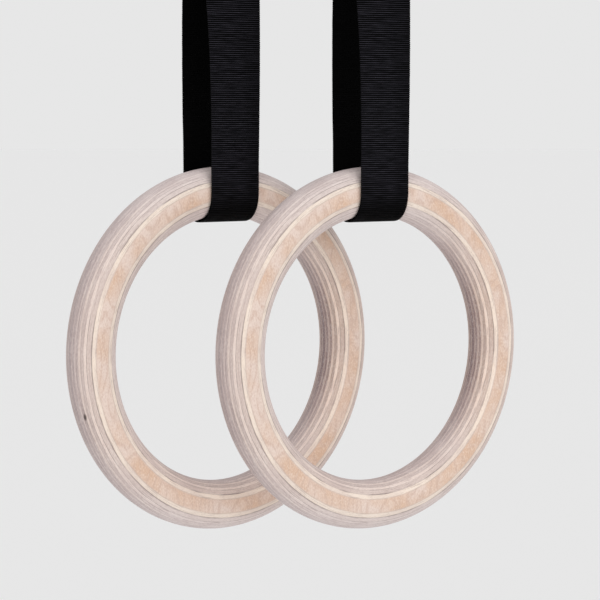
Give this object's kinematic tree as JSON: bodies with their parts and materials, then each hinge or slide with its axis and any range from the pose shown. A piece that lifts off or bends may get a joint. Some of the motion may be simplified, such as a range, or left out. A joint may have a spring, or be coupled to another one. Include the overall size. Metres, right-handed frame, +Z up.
{
  "type": "gymnastics rings",
  "caption": "Round wooden gymnastics rings hung in loops of flat black webbing that pass over a bar and close in metal cam buckles.",
  "frame": {"origin": "on the axis of the overhead bar, midway between the straps", "axes": "+X along the bar to the right, +Y to the back, +Z up; the rings hang down along -Z"},
  "size_m": [0.2894, 0.1568, 0.5537],
  "materials": {
    "wood": "bare sanded birch plywood, plies seen edge-on all round",
    "webbing": "ribbed black nylon webbing, slight sheen",
    "thread": "black bonded thread",
    "buckle_plate": "zinc plated, satin",
    "spring_steel": "bare spring wire"
  },
  "bodies": {
    "left_bar_loop": {"left_bar_loop": "webbing"},
    "left_strap": {"left_front_leg": "webbing", "left_sewn_leg": "webbing", "left_stitching": "thread", "left_free_tail": "webbing", "left_buckle_frame": "buckle_plate", "left_buckle_pin": "buckle_plate", "left_buckle_spring": "spring_steel"},
    "left_cam": {"left_buckle_cam": "buckle_plate"},
    "left_lower_loop": {"left_ring_loop": "webbing"},
    "left_ring": {"left_ring": "wood"},
    "right_bar_loop": {"right_bar_loop": "webbing"},
    "right_strap": {"right_front_leg": "webbing", "right_sewn_leg": "webbing", "right_stitching": "thread", "right_free_tail": "webbing", "right_buckle_frame": "buckle_plate", "right_buckle_pin": "buckle_plate", "right_buckle_spring": "spring_steel"},
    "right_cam": {"right_buckle_cam": "buckle_plate"},
    "right_lower_loop": {"right_ring_loop": "webbing"},
    "right_ring": {"right_ring": "wood"}
  },
  "joints": [
    {"name": "left_swing", "type": "hinge", "parent": "left_bar_loop", "child": "left_strap", "pos_m": [-0.04825, 0, 0], "axis": [1, 0, 0], "range_deg": [-4, 75]},
    {"name": "left_twist", "type": "hinge", "parent": "left_strap", "child": "left_lower_loop", "pos_m": [-0.04825, 0, -0.157], "axis": [0, 0, 1], "range_deg": [-20, 60]},
    {"name": "left_ring_spin", "type": "hinge", "parent": "left_lower_loop", "child": "left_ring", "pos_m": [-0.04825, 0, -0.4175], "axis": [-0.6266, 0.7793, 0], "continuous": true},
    {"name": "left_cam_lever", "type": "hinge", "parent": "left_strap", "child": "left_cam", "pos_m": [-0.0578, 0.02653, -0.12], "axis": [-0.9409, -0.3387, 0], "range_deg": [0, 26], "stiffness_Nm_per_rad": 0.05, "springref_deg": -22.92},
    {"name": "right_set_slide", "type": "slide", "parent": "left_bar_loop", "child": "right_bar_loop", "axis": [1, 0, 0], "range_m": [0, 0.4]},
    {"name": "right_swing", "type": "hinge", "parent": "right_bar_loop", "child": "right_strap", "pos_m": [0.04825, 0, 0], "axis": [1, 0, 0], "range_deg": [-75, 4]},
    {"name": "right_twist", "type": "hinge", "parent": "right_strap", "child": "right_lower_loop", "pos_m": [0.04825, 0, -0.157], "axis": [0, 0, 1], "range_deg": [-20, 60]},
    {"name": "right_ring_spin", "type": "hinge", "parent": "right_lower_loop", "child": "right_ring", "pos_m": [0.04825, 0, -0.4175], "axis": [-0.5779, 0.8161, 0], "continuous": true},
    {"name": "right_cam_lever", "type": "hinge", "parent": "right_strap", "child": "right_cam", "pos_m": [0.04034, 0.02707, -0.12], "axis": [-0.9598, -0.2807, 0], "range_deg": [0, 26], "stiffness_Nm_per_rad": 0.05, "springref_deg": -22.92}
  ]
}
